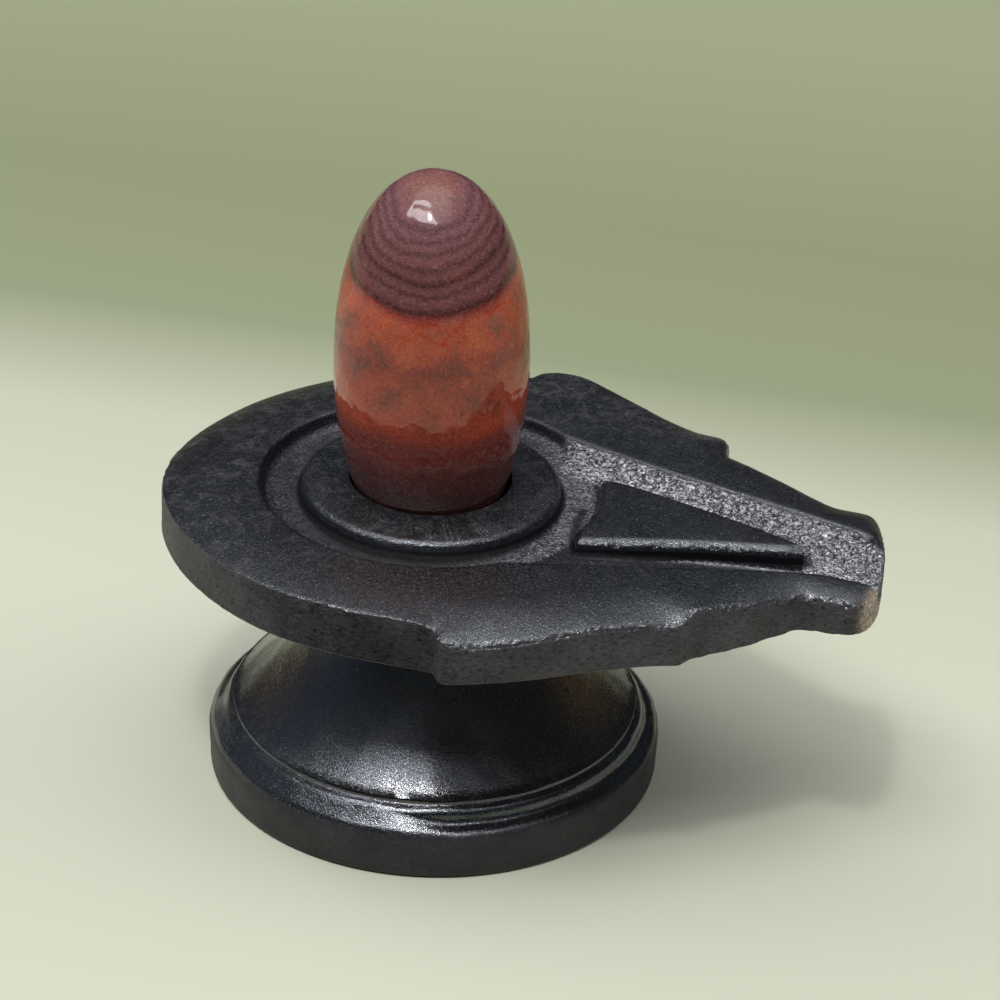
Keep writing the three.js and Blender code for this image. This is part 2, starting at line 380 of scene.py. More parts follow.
def rim_gaps(here, lowest=-10.5):
    """Gap from each point to the plate's outline, seen from above, for points over a height."""
    tree = finder(dense(OUTLINE, closed=True))
    gaps = np.full(len(here), 99.0)
    for i in np.nonzero(here[:, 2] > lowest)[0]:
        gaps[i] = tree.find((here[i, 0], here[i, 1], 0))[2]
    return gaps


def rubbed_drop(here, gaps):
    """How far the carver's rubbing lowered the top at each point: each place on the rim lowers
    what is near it, and nearer places count far more."""
    rim = np.array(dense(OUTLINE, closed=True, spacing=0.4))
    tree = finder(rim)
    at = [tree.find((x, y, 0))[1] for x, y, _, _ in RIM_ROLL]
    drops, reaches = (
        np.interp(np.arange(len(rim)), at, [roll[i] for roll in RIM_ROLL], period=len(rim))
        for i in (2, 3))
    drop = np.zeros(len(here))
    near = np.nonzero(gaps < reaches.max())[0]
    for part in np.array_split(near, 24):      # parts, to keep each table of distances small
        away = np.linalg.norm(here[part, None, :2] - rim[None], axis=2) + 0.05
        share = away ** -4
        lowered = drops * np.clip(1 - away / reaches, 0, 1) ** 1.6
        drop[part] = (share * lowered).sum(1) / share.sum(1)
    return drop * np.clip(1 + here[:, 2] / RUBBED_WALL, 0, 1)


def rim_drop(here, gaps, width, depth, wall):
    """A worn edge: `depth` lower at a line, fading out `width` away and `wall` down."""
    near = np.clip(1 - gaps / width, 0, 1)
    return depth * near**1.25 * np.clip(1 + here[:, 2] / wall, 0, 1)


def line_gaps(here, line, closed=False, limit=3.0):
    """Gap from each point to a line on the plate's top, for points in its upper 4 mm."""
    tree = finder(dense(line, closed))
    gaps = np.full(len(here), 99.0)
    for i in np.nonzero(here[:, 2] > -4)[0]:
        gap = tree.find((here[i, 0], here[i, 1], 0))[2]
        if gap < limit:
            gaps[i] = gap
    return gaps


def plate_blank():
    """The plate cut to its outline, tapered under the spout, with its groove and channels."""
    plate = flat_shape("carved_base", [OUTLINE], -PLATE_THICK, 0)
    pick(plate)
    bpy.ops.object.mode_set(mode="EDIT")
    bpy.ops.mesh.select_all(action="SELECT")
    bpy.ops.mesh.bisect(
        plane_co=(TAPER_START_X * MM, 0, -PLATE_THICK * MM),
        plane_no=(math.sin(TAPER_SLOPE), 0, -math.cos(TAPER_SLOPE)),
        use_fill=True, clear_outer=True,
    )
    bpy.ops.object.mode_set(mode="OBJECT")
    cut(plate, groove_cutter())
    cut(plate, channel_cutter())
    modify(plate, "REMESH", mode="VOXEL", voxel_size=PLATE_VOXEL * MM)
    modify(plate, "SMOOTH", factor=0.5, iterations=2)
    low_rim = weigh(plate, "low_rim", ease(places(plate)[:, 2], -6.5, -8.5))
    modify(plate, "SMOOTH", factor=0.5, iterations=8, vertex_group=low_rim)
    return plate


def refine(obj, wanted):
    """Splits the faces whose corners are all wanted."""
    pick(obj)
    mesh = obj.data
    mesh.polygons.foreach_set("select", [False] * len(mesh.polygons))
    mesh.edges.foreach_set("select", [False] * len(mesh.edges))
    mesh.vertices.foreach_set("select", [False] * len(mesh.vertices))
    chosen = [all(wanted[v] for v in face.vertices) for face in mesh.polygons]
    mesh.polygons.foreach_set("select", chosen)
    bpy.ops.object.mode_set(mode="EDIT")
    bpy.ops.mesh.select_mode(type="FACE")
    bpy.ops.mesh.subdivide(number_cuts=1)
    bpy.ops.object.mode_set(mode="OBJECT")


def edge_gaps(here):
    """Gaps from each point to the collar, groove, island, and near and far channel sides."""
    return [
        np.abs(radii(here) - COLLAR_RADIUS), np.abs(radii(here) - GROOVE_RADIUS),
        line_gaps(here, ISLAND, closed=True),
        *(line_gaps(here, smooth_run(line, 6)) for line in (CHANNEL_NEAR, CHANNEL_FAR)),
    ]


def rub_edges(plate):
    """Lowers the top towards its rim and rounds the collar, groove, island and channel edges."""
    here = places(plate)
    rim_gap = rim_gaps(here)
    lowered = rubbed_drop(here, rim_gap)
    lowered += rim_drop(here, rim_gap, width=0.5, depth=0.25, wall=RUBBED_WALL)
    for gaps, (width, depth) in zip(edge_gaps(here), EDGE_WEAR):
        lowered = np.maximum(lowered, rim_drop(here, gaps, width, depth, wall=3.0))
    deepest = float(lowered.max())
    group = weigh(plate, "rubbed", lowered / deepest)
    modify(plate, "DISPLACE", direction="Z", strength=-deepest * MM, mid_level=0,
           vertex_group=group)


def in_channel(here):
    """How strongly the chisel pecked each point: the far channel's floor and leaning wall, to the
    mouth, fading out towards the ring groove. Along the channel the amount also carries painted
    light, through how pale the crushed colour is."""
    x, y, z = here.T
    across = (y > along(PECKED_NEAR, x) - 0.1) & (y < along(PECKED_FAR, x) + 0.3)
    within = across & (z < -0.3) & (z > -8)
    force = within * along(PECK_FORCE_AND_PAINTED_LIGHT, x)
    return force * ease(x, 21, 26) * ease(x, 95.2, 93.6) * ease(z, -0.3, -0.9)


def chipped(here, rim_gap):
    """How badly each point of the rim is chipped: most along the near shoulder and the spout."""
    x, y, _ = here.T
    near_side = ease(y, -4, -16) * ease(x, -40, -8)
    return ease(rim_gap, 1.1, 0.5) * (0.06 + 0.94 * near_side * (0.4 + 0.6 * ease(x, 8, 18)))


def chip_and_tool(plate):
    """Breaks the sharp rim, hammers the channels and roughens the sawn walls."""
    here = places(plate)
    upper = (chipped(here, rim_gaps(here)) > 0.2) & (here[:, 2] > -5.0)
    refine(plate, upper | (in_channel(here + (0, 0, 0.3)) > 0))
    here = places(plate)
    facing = normals(plate)
    rim_gap = rim_gaps(here)
    slant = ease(facing[:, 2], 0.1, 0.35) * ease(facing[:, 2], 0.99, 0.9)
    rim = chipped(here, rim_gap) * slant * (here[:, 2] > -5.5)
    island = ease(line_gaps(here, ISLAND, closed=True), 1.2, 0.4)
    rim = np.maximum(rim, island * slant * (here[:, 2] > -1.5) * 0.6)
    group = weigh(plate, "rim", rim)
    bites = noise_texture("bites", "CLOUDS", 3.2, noise_depth=2, contrast=2.4, intensity=1.1)
    roughen(plate, bites, group, depth=0.32, middle=1.0)
    chips = noise_texture("chips", "CLOUDS", 0.8, noise_depth=2, contrast=1.5)
    roughen(plate, chips, group, depth=0.28, middle=0.6)
    pecks = noise_texture("pecks", "VORONOI", 1.7, noise_intensity=1.3)
    roughen(plate, pecks, weigh(plate, "pecked", in_channel(here)), depth=0.6, middle=0.5)
    wall = ease(np.abs(facing[:, 2]), 0.5, 0.2) * (rim_gap < 2.0)
    saw = noise_texture("saw", "CLOUDS", 4.0, noise_depth=2)
    roughen(plate, saw, weigh(plate, "sawn", wall), depth=-0.16, middle=0.0)


def thin_calm_parts(plate):
    """Takes vertices out of the flat parts, which need few: the top away from edges, and below."""
    here = places(plate)
    gaps = [rim_gaps(here, lowest=-99), *edge_gaps(here)]
    calm = (np.min(gaps, axis=0) > 1.6) & (in_channel(here) == 0)
    faces = [all(calm[v] for v in face.vertices) for face in plate.data.polygons]
    share = sum(faces) / len(faces)
    group = weigh(plate, "calm", calm.astype(float))
    modify(plate, "DECIMATE", ratio=1 - CALM_FACES_REMOVED * share,
           vertex_group=group, vertex_group_factor=10.0)


def make_plate():
    """The finished plate, in its place."""
    plate = plate_blank()
    rub_edges(plate)
    chip_and_tool(plate)
    thin_calm_parts(plate)
    settle(plate, PLATE_CENTRE, (PLATE_ROLL, PLATE_FALL))
    return plate


# ------------------------------------------------------------------ the pedestal


def pedestal_profile():
    """Foot, ledge and bead, then the hollow flank, and the head that meets the plate."""
    foot = [
        (0, 0), (15, 0), (30, 0), (42, 0), (46.5, 0), (47.5, 0.1), (48.2, 0.5), (48.5, 1.2),
        (48.55, 2.4), (48.62, 3.8), (48.7, 5.2), (48.78, 6.6), (48.84, 8.0), (48.84, 8.7),
        (48.76, 9.3), (48.5, 9.9), (48.1, 10.45), (47.6, 10.9), (47.0, 11.2), (46.5, 11.35),
        (46.05, 11.5), (45.7, 11.75), (45.45, 12.1), (45.3, 12.6), (45.2, 13.15), (44.97, 13.75),
        (44.6, 14.25), (44.15, 14.55), (43.75, 14.7), (43.45, 14.9), (43.38, 15.2), (43.5, 15.5),
        (43.62, 15.75), (43.5, 16.02), FLANK_START,
    ]
    flank = []
    for i in range(1, 31):
        rise = i / 30
        spread = (FLANK_START[0] - WAIST_RADIUS) * (1 - rise) ** FLANK_POWER
        flank.append((WAIST_RADIUS + spread, FLANK_START[1] + (WAIST_Z - FLANK_START[1]) * rise))
    head = []
    for i in range(1, 11):
        rise = i / 10
        head.append((WAIST_RADIUS + (HEAD_RADIUS - WAIST_RADIUS) * rise**2,
                     WAIST_Z + (HEAD_Z - WAIST_Z) * rise))
    return [*foot, *flank, *head, (14, HEAD_Z), (0, HEAD_Z)]


def wear_ledge(pedestal):
    """Fills the hollow between the bead and the rim on one side, where it was never cut clean."""
    here = places(pedestal)
    radius = radii(here)
    filled = ease(degrees_from(here, WORN_LEDGE_SIDE), 54, 36)
    slope = BEAD[1] - (radius - BEAD[0]) * LEDGE_SLOPE
    rise = np.clip(slope - here[:, 2], 0, 2) * filled
    rise *= (radius > BEAD[0]) & (radius < FOOT_EDGE_RADIUS) & (here[:, 2] > 10)
    here[:, 2] += rise
    pedestal.data.vertices.foreach_set("co", (here * MM).ravel())
    pedestal.data.update()


def make_pedestal():
    """The pedestal, with the unevenness of its hand-cut flank."""
    pedestal = turned("pedestal", pedestal_profile())
    wear_ledge(pedestal)
    here = places(pedestal)
    cut_by_hand = noise_texture("hand_cut", "CLOUDS", 8.0, noise_depth=3)
    group = weigh(pedestal, "cut_by_hand", np.clip(here[:, 2] / 2 - 0.1, 0, 1))
    roughen(pedestal, cut_by_hand, group, depth=-0.6, middle=0.0)
    return pedestal


def socket_cutter():
    """A bowl that follows the stone, with a flat floor under the stone's flat."""
    flat = STONE_LOWER * (1 - math.sqrt(1 - (STONE_FLAT_RADIUS / STONE_RADIUS) ** 2))
    floor = flat - SOCKET_FLOOR_GAP
    mouth = PLATE_CENTRE[2] - STONE_FOOT[2] + 2
    profile = [(0, floor), (STONE_FLAT_RADIUS + 1.2, floor)]
    for height in np.linspace(floor + 0.6, mouth, 26):
        drop = (STONE_LOWER - height - SOCKET_FLOOR_GAP) / STONE_LOWER
        profile.append((STONE_RADIUS * math.sqrt(1 - drop * drop) + SOCKET_SIDE_GAP, height))
    cutter = turned("socket_cutter", [*profile, (0, mouth)], turns=128)
    pick(cutter)
    bpy.ops.object.mode_set(mode="EDIT")
    bpy.ops.mesh.select_all(action="SELECT")
    bpy.ops.transform.translate(value=(SOCKET_SHIFT[0] * MM, SOCKET_SHIFT[1] * MM, 0))
    bpy.ops.object.mode_set(mode="OBJECT")
    settle(cutter, STONE_FOOT, STONE_LEAN)
    return cutter


def make_base():
    """The whole base: one block, so the pedestal and the plate are one closed surface."""
    base = make_plate()
    pedestal = make_pedestal()
    modify(base, "BOOLEAN", operation="UNION", object=pedestal, solver="MANIFOLD")
    bpy.data.objects.remove(pedestal)
    cut(base, socket_cutter())
    base.vertex_groups.clear()
    pick(base)
    bpy.ops.object.shade_smooth_by_angle(angle=math.radians(32))
    return base


# ------------------------------------------------------------------ the stone


def stone_profile():
    """An egg: an ellipse below, cut by the small flat, and a blunter one above."""
    first = math.asin(math.sqrt(1 - (STONE_FLAT_RADIUS / STONE_RADIUS) ** 2))
    low = STONE_LOWER * (1 - math.sin(first))
    profile = [(0, low), (STONE_FLAT_RADIUS * 0.6, low)]
    for i in range(34):
        angle = -first * (1 - i / 33)
        profile.append((STONE_RADIUS * math.cos(angle), STONE_LOWER * (1 + math.sin(angle))))
    power = 2 / STONE_UPPER_POWER
    for i in range(1, 44):
        angle = math.pi / 2 * i / 44
        profile.append((STONE_RADIUS * math.cos(angle) ** power,
                        STONE_LOWER + STONE_UPPER * math.sin(angle) ** power))
    return [*profile, (0, STONE_LOWER + STONE_UPPER)]


def make_stone():
    """The river stone, leaning a little in its socket."""
    stone = turned("river_stone", stone_profile())
    settle(stone, STONE_FOOT, STONE_LEAN)
    pick(stone)
    bpy.ops.object.shade_smooth()
    return stone


# ------------------------------------------------------------------ finishes


def colour(hex_code):
    """Linear colour of an sRGB hex code."""
    parts = [int(hex_code[i:i + 2], 16) / 255 for i in (1, 3, 5)]
    return (*((p / 12.92 if p <= 0.04045 else ((p + 0.055) / 1.055) ** 2.4) for p in parts), 1.0)


def add(tree, kind, inputs=None, stops=None, **settings):
    """Adds a node, with its settings, its inputs' values or links, and its ramp's stops.
    The inputs of a Mix node are 0 (share), 2 and 3 (values), 6 and 7 (colours)."""
    made = tree.nodes.new(kind)
    for name, value in settings.items():
        setattr(made, name, value)
    for name, value in (inputs or {}).items():
        if isinstance(value, bpy.types.NodeSocket):
            tree.links.new(value, made.inputs[name])
        else:
            made.inputs[name].default_value = value
    for i, (place, shade) in enumerate(stops or []):
        ramp = made.color_ramp.elements
        element = ramp[i] if i < 2 else ramp.new(1.0)
        element.position = place
        element.color = colour(shade) if isinstance(shade, str) else (shade, shade, shade, 1)
    return made


def new_finish(name):
    """A material with its shader, and the place on the piece in mm."""
    finish = bpy.data.materials.new(name)
    finish.use_nodes = True
    tree = finish.node_tree
    shader = tree.nodes["Principled BSDF"]
    place = add(tree, "ShaderNodeTexCoord").outputs["Object"]
    mm = add(tree, "ShaderNodeVectorMath", {0: place, "Scale": 1000.0}, operation="SCALE")
    return finish, tree, shader, mm.outputs["Vector"]


STONE_LOW, STONE_HIGH = 49.0, 136.0     # bedding heights that the colour ramps cover
CAP_LINES = [                           # thin dark beds: height, half width, how dark
    (118.3, 1.2, 0.42), (121.6, 0.9, 0.5), (123.9, 0.85, 0.42), (126.1, 0.75, 0.5),
    (128.0, 0.6, 0.52), (129.5, 0.55, 0.56), (131.1, 0.6, 0.55),
]
PECK_STRETCH = (0.8, 1.3, 1.0)          # the chisel's marks are drawn out along the channel


def level(height):
    """Place of a bedding height on the stone's ramps."""
    return (height - STONE_LOW) / (STONE_HIGH - STONE_LOW)


def bed_heights(tree, mm):
    """The height, in mm, of the bed each point is in, and the fine ripple that bends the beds:
    they lie level low in the stone and dip towards its front in the cap."""
    axes = add(tree, "ShaderNodeSeparateXYZ", {0: mm}).outputs
    dip = add(tree, "ShaderNodeMapRange", {
        "Value": axes["Z"], "From Min": 86.0, "From Max": 114.0,
    }, interpolation_type="SMOOTHSTEP").outputs["Result"]
    slope = add(tree, "ShaderNodeVectorMath", {0: mm, 1: (0.075, -0.38, 0.0)},
                operation="DOT_PRODUCT").outputs["Value"]
    tilt = add(tree, "ShaderNodeMath", {0: slope, 1: dip}, operation="MULTIPLY").outputs[0]
    bed = add(tree, "ShaderNodeMath", {0: axes["Z"], 1: tilt}).outputs[0]
    wander = add(tree, "ShaderNodeTexNoise", {
        "Vector": mm, "Scale": 0.055, "Detail": 2.0, "Roughness": 0.45}).outputs["Fac"]
    ripple = add(tree, "ShaderNodeTexNoise", {
        "Vector": mm, "Scale": 0.35, "Detail": 3.0, "Roughness": 0.6}).outputs["Fac"]
    warp = add(tree, "ShaderNodeMath", {0: wander, 1: 4.5, 2: -2.25},
               operation="MULTIPLY_ADD").outputs[0]
    warp = add(tree, "ShaderNodeMath", {0: ripple, 1: 1.1, 2: warp},
               operation="MULTIPLY_ADD").outputs[0]
    return add(tree, "ShaderNodeMath", {0: bed, 1: warp}).outputs[0], ripple


def banded_colour(tree, bed):
    """Red-brown beds under a mauve cap that thin dark beds rule."""
    beds = add(tree, "ShaderNodeValToRGB", {"Fac": bed}, stops=[
        (level(52), "#2d1b1c"), (level(66), "#3f2324"), (level(72), "#4b2827"),
        (level(76), "#542a28"), (level(80), "#6a302c"), (level(82.5), "#682e29"),
        (level(84.5), "#7c342a"), (level(87), "#963f2d"), (level(91), "#993f2e"),
        (level(95), "#8d3927"), (level(100), "#883524"), (level(103), "#75291d"),
        (level(106), "#832f20"), (level(109), "#953b24"), (level(112), "#973c25"),
        (level(115.5), "#9c402b"), (level(117.2), "#7f3731"), (level(118.4), "#60393a"),
        (level(121), "#6a4344"), (level(124), "#5f3b3c"), (level(127), "#6b4546"),
        (level(131), "#6c494e"), (level(135), "#7b5047"),
    ]).outputs["Color"]
    lines = [(0.0, 1.0)]
    for at, half, dark in CAP_LINES:
        lines += [(level(at - half), 1.0), (level(at), dark), (level(at + half), 1.0)]
    ruled = add(tree, "ShaderNodeValToRGB", {"Fac": bed}, stops=[*lines, (1.0, 1.0)])
    return add(tree, "ShaderNodeMix", {0: 1.0, 6: beds, 7: ruled.outputs["Color"]},
               data_type="RGBA", blend_type="MULTIPLY").outputs[2]


def clouded_colour(tree, mm, bed, under):
    """Clouds of smoky brown and of paler orange in the middle beds."""
    cloud = add(tree, "ShaderNodeTexNoise", {
        "Vector": mm, "Scale": 0.13, "Detail": 6.0, "Roughness": 0.62, "Distortion": 0.4,
    }).outputs["Fac"]
    smoke = add(tree, "ShaderNodeMapRange", {
        "Value": cloud, "From Min": 0.5, "From Max": 0.68, "To Max": 0.75}).outputs["Result"]
    glow = add(tree, "ShaderNodeMapRange", {
        "Value": cloud, "From Min": 0.47, "From Max": 0.3, "To Max": 0.5}).outputs["Result"]
    middle = add(tree, "ShaderNodeValToRGB", {"Fac": bed}, stops=[
        (0.0, 0.0), (level(84), 0.15), (level(92), 1.0), (level(114), 1.0), (level(118), 0.12),
        (1.0, 0.1),
    ]).outputs["Color"]
    smoke = add(tree, "ShaderNodeMath", {0: smoke, 1: middle}, operation="MULTIPLY").outputs[0]
    glow = add(tree, "ShaderNodeMath", {0: glow, 1: middle}, operation="MULTIPLY").outputs[0]
    smoked = add(tree, "ShaderNodeMix", {0: smoke, 6: under, 7: colour("#4c2c24")},
                 data_type="RGBA").outputs[2]
    return add(tree, "ShaderNodeMix", {0: glow, 6: smoked, 7: colour("#b25a28")},
               data_type="RGBA").outputs[2]


def mottled_colour(tree, mm, under):
    """Sand-grain mottling, 0.3 to 1 mm, drawn out along the beds."""
    laid = add(tree, "ShaderNodeMapping", {"Vector": mm, "Scale": (1.0, 1.0, 2.2)}).outputs[0]
    grain = add(tree, "ShaderNodeTexNoise", {
        "Vector": laid, "Scale": 1.3, "Detail": 5.0, "Roughness": 0.7}).outputs["Fac"]
    grain = add(tree, "ShaderNodeMapRange", {
        "Value": grain, "From Min": 0.3, "From Max": 0.7, "To Min": 0.6, "To Max": 1.42,
    }).outputs["Result"]
    return add(tree, "ShaderNodeMix", {0: 1.0, 6: under, 7: grain},
               data_type="RGBA", blend_type="MULTIPLY").outputs[2]


def flecked_colour(tree, mm, under):
    """Pale flecks about 0.2 mm across, and hair scratches."""
    fleck = add(tree, "ShaderNodeTexVoronoi", {"Vector": mm, "Scale": 1.4}).outputs["Distance"]
    fleck = add(tree, "ShaderNodeMapRange", {
        "Value": fleck, "From Min": 0.14, "From Max": 0.05, "To Max": 0.4}).outputs["Result"]
    for turn in (-0.95, 0.3, 1.0):
        hair = add(tree, "ShaderNodeVectorRotate", {"Vector": mm, "Angle": turn},
                   rotation_type="Y_AXIS").outputs["Vector"]
        hair = add(tree, "ShaderNodeMapping", {"Vector": hair, "Scale": (6.5, 1.4, 0.75)})
        hair = add(tree, "ShaderNodeTexNoise", {
            "Vector": hair.outputs["Vector"], "Scale": 1.0, "Detail": 1.0})
        hair = add(tree, "ShaderNodeMapRange", {
            "Value": hair.outputs["Fac"], "From Min": 0.63, "From Max": 0.74, "To Max": 0.22})
        fleck = add(tree, "ShaderNodeMath", {0: fleck, 1: hair.outputs["Result"]},
                    operation="MAXIMUM").outputs[0]
    return add(tree, "ShaderNodeMix", {0: fleck, 6: under, 7: colour("#c08d74")},
               data_type="RGBA").outputs[2]


def cracked_colour(tree, mm, ripple, under):
    """A healed crack runs down the cap: a thin slanting sheet through the stone."""
    sheet = add(tree, "ShaderNodeVectorMath", {0: mm, 1: (0.955, 0.28, -0.105)},
                operation="DOT_PRODUCT").outputs["Value"]
    bend = add(tree, "ShaderNodeMath", {0: ripple, 1: 1.2, 2: sheet},
               operation="MULTIPLY_ADD").outputs[0]
    gap = add(tree, "ShaderNodeMath", {0: bend, 1: 1.9}, operation="ADD").outputs[0]
    gap = add(tree, "ShaderNodeMath", {0: gap}, operation="ABSOLUTE").outputs[0]
    crack = add(tree, "ShaderNodeMapRange", {
        "Value": gap, "From Min": 0.22, "From Max": 0.05, "To Max": 0.5}).outputs["Result"]
    height = add(tree, "ShaderNodeSeparateXYZ", {0: mm}).outputs["Z"]
    in_cap = add(tree, "ShaderNodeMapRange", {
        "Value": height, "From Min": 104.0, "From Max": 111.0}).outputs["Result"]
    crack = add(tree, "ShaderNodeMath", {0: crack, 1: in_cap}, operation="MULTIPLY").outputs[0]
    return add(tree, "ShaderNodeMix", {0: crack, 6: under, 7: colour("#5d4552")},
               data_type="RGBA").outputs[2]


def polished_river_stone():
    """Cryptocrystalline quartz with iron oxides, tumbled by a river and then polished by hand:
    a glassy surface over cloudy red-brown bedding, with a mauve cap ruled by thin dark beds."""
    finish, tree, shader, mm = new_finish("polished_river_stone")
    height, ripple = bed_heights(tree, mm)
    bed = add(tree, "ShaderNodeMapRange", {
        "Value": height, "From Min": STONE_LOW, "From Max": STONE_HIGH}).outputs["Result"]
    surface = banded_colour(tree, bed)
    surface = clouded_colour(tree, mm, bed, surface)
    surface = mottled_colour(tree, mm, surface)
    surface = flecked_colour(tree, mm, surface)
    surface = cracked_colour(tree, mm, ripple, surface)
    tree.links.new(surface, shader.inputs["Base Color"])
    # The polish is a little uneven, and worn by faint scratches.
    worn = add(tree, "ShaderNodeTexNoise", {
        "Vector": mm, "Scale": 0.6, "Detail": 4.0}).outputs["Fac"]
    rough = add(tree, "ShaderNodeMapRange", {
        "Value": worn, "From Min": 0.35, "From Max": 0.7, "To Min": 0.04, "To Max": 0.11})
    tree.links.new(rough.outputs["Result"], shader.inputs["Roughness"])
    shader.inputs["IOR"].default_value = 1.48
    # The tumbled surface dips and swells a few hundredths of a millimetre.
    dimple = add(tree, "ShaderNodeTexNoise", {
        "Vector": mm, "Scale": 0.24, "Detail": 1.0, "Roughness": 0.4}).outputs["Fac"]
    bump = add(tree, "ShaderNodeBump", {
        "Strength": 1.0, "Distance": 0.00035, "Height": dimple})
    tree.links.new(bump.outputs["Normal"], shader.inputs["Normal"])
    return finish


def blacked_colour(tree, mm, marks):
    """Blacked stone: near black where it was rubbed, warm grey on the sawn walls."""
    broad = add(tree, "ShaderNodeTexNoise", {
        "Vector": mm, "Scale": 0.09, "Detail": 4.0, "Roughness": 0.6}).outputs["Fac"]
    rubbed = add(tree, "ShaderNodeValToRGB", {"Fac": broad}, stops=[
        (0.3, "#0a0b0d"), (0.7, "#131417")]).outputs["Color"]
    sawn = add(tree, "ShaderNodeValToRGB", {"Fac": broad}, stops=[
        (0.3, "#2a272a"), (0.7, "#464245")]).outputs["Color"]
    return add(tree, "ShaderNodeMix", {0: marks["wall"], 6: rubbed, 7: sawn},
               data_type="RGBA").outputs[2]


def streaked_colour(tree, fibre, marks, under):
    """Old brown of the raw stone where the blacking wore thin, in streaks down the flank."""
    streak = add(tree, "ShaderNodeMapRange", {
        "Value": fibre, "From Min": 0.38, "From Max": 0.62, "To Min": 0.35}).outputs["Result"]
    streak = add(tree, "ShaderNodeMath", {0: streak, 1: marks["stain"]},
                 operation="MULTIPLY").outputs[0]
    return add(tree, "ShaderNodeMix", {0: streak, 6: under, 7: colour("#685439")},
               data_type="RGBA").outputs[2]


def dusted_colour(tree, mm, marks, under):
    """Stone dust left in the surface: soft pale smears."""
    smear = add(tree, "ShaderNodeTexNoise", {
        "Vector": mm, "Scale": 0.22, "Detail": 7.0, "Roughness": 0.72, "Distortion": 1.2})
    smear = add(tree, "ShaderNodeMapRange", {
        "Value": smear.outputs["Fac"], "From Min": 0.47, "From Max": 0.74, "To Max": 0.42})
    smear = add(tree, "ShaderNodeMath", {0: smear.outputs["Result"], 1: marks["dust"]},
                operation="MULTIPLY").outputs[0]
    return add(tree, "ShaderNodeMix", {0: smear, 6: under, 7: colour("#5d5c5c")},
               data_type="RGBA").outputs[2]


def crushed_colour_glints_and_shade(tree, mm, wrinkle, marks, under):
    """The chisel crushed the skin into pale powder; the near-white wrinkle crests are painted
    glints, and the near-black troughs and the darkened creases are painted shade.
    """
    powder_glints_and_shade = add(tree, "ShaderNodeValToRGB", {"Fac": wrinkle}, stops=[
        (0.39, "#0c0b0d"), (0.47, "#615f64"), (0.57, "#ebe9ed")]).outputs["Color"]
    drawn = add(tree, "ShaderNodeVectorMath", {0: mm, 1: PECK_STRETCH}, operation="MULTIPLY")
    crease_shade = add(tree, "ShaderNodeTexVoronoi", {"Vector": drawn.outputs["Vector"], "Scale": 0.8},
                 feature="DISTANCE_TO_EDGE").outputs["Distance"]
    crease_shade = add(tree, "ShaderNodeMapRange", {
        "Value": crease_shade, "From Min": 0.0, "From Max": 0.12, "To Min": 0.2}).outputs["Result"]
    powder_glints_and_shade = add(tree, "ShaderNodeMix", {0: 1.0, 6: powder_glints_and_shade, 7: crease_shade},
                 data_type="RGBA", blend_type="MULTIPLY").outputs[2]
    crushed = add(tree, "ShaderNodeMath", {0: marks["hammered"], 1: 0.92},
                  operation="MULTIPLY").outputs[0]
    return add(tree, "ShaderNodeMix", {0: crushed, 6: under, 7: powder_glints_and_shade},
               data_type="RGBA").outputs[2]


def broken_colour(tree, fibre, marks, under):
    """Bare stone broken fresh at the spout's tip: brown and fibrous."""
    raw = add(tree, "ShaderNodeValToRGB", {"Fac": fibre}, stops=[
        (0.3, "#4a3e33"), (0.5, "#8f8070"), (0.7, "#b5a893")]).outputs["Color"]
    return add(tree, "ShaderNodeMix", {0: marks["bare"], 6: under, 7: raw},
               data_type="RGBA").outputs[2]


def sawn_colour(tree, mm, fine, marks, under):
    """Fine mottling, drawn out on the walls into the saw's short slanting strokes."""
    stroke = add(tree, "ShaderNodeMapping", {
        "Vector": mm, "Rotation": (0.0, 0.75, 0.0), "Scale": (0.7, 1.2, 3.4)}).outputs[0]
    stroke = add(tree, "ShaderNodeTexNoise", {"Vector": stroke, "Scale": 1.0, "Detail": 3.0})
    sawing = add(tree, "ShaderNodeMath", {0: marks["wall"], 1: 0.75},
                 operation="MULTIPLY").outputs[0]
    texture = add(tree, "ShaderNodeMix", {0: sawing, 2: fine, 3: stroke.outputs["Fac"]})
    mottle = add(tree, "ShaderNodeMapRange", {
        "Value": texture.outputs[0], "From Min": 0.3, "From Max": 0.7,
        "To Min": 0.3, "To Max": 1.9})
    return add(tree, "ShaderNodeMix", {0: 1.0, 6: under, 7: mottle.outputs["Result"]},
               data_type="RGBA", blend_type="MULTIPLY").outputs[2]


def specks_and_painted_glints_colour(tree, mm, under):
    """Light mineral specks and short rubbing scratches, 0.2 mm wide; the pale specks are also
    painted glints of tiny facets catching the light.
    """
    speck_and_glint = add(tree, "ShaderNodeTexNoise", {
        "Vector": mm, "Scale": 2.6, "Detail": 2.0, "Distortion": 1.5})
    speck_and_glint = add(tree, "ShaderNodeMapRange", {
        "Value": speck_and_glint.outputs["Fac"], "From Min": 0.62, "From Max": 0.74, "To Max": 0.5,
    }).outputs["Result"]
    return add(tree, "ShaderNodeMix", {0: speck_and_glint, 6: under, 7: colour("#7d7f82")},
               data_type="RGBA").outputs[2]


def sawn_pits(tree, mm, fine, marks):
    """Pits that the saw tore out of the walls."""
    pit = add(tree, "ShaderNodeTexVoronoi", {"Vector": mm, "Scale": 0.55}).outputs["Distance"]
    pit = add(tree, "ShaderNodeMath", {0: fine, 1: 0.8, 2: pit}, operation="MULTIPLY_ADD")
    pit = add(tree, "ShaderNodeMapRange", {
        "Value": pit.outputs[0], "From Min": 0.62, "From Max": 0.48}).outputs["Result"]
    return add(tree, "ShaderNodeMath", {0: pit, 1: marks["wall"]}, operation="MULTIPLY").outputs[0]


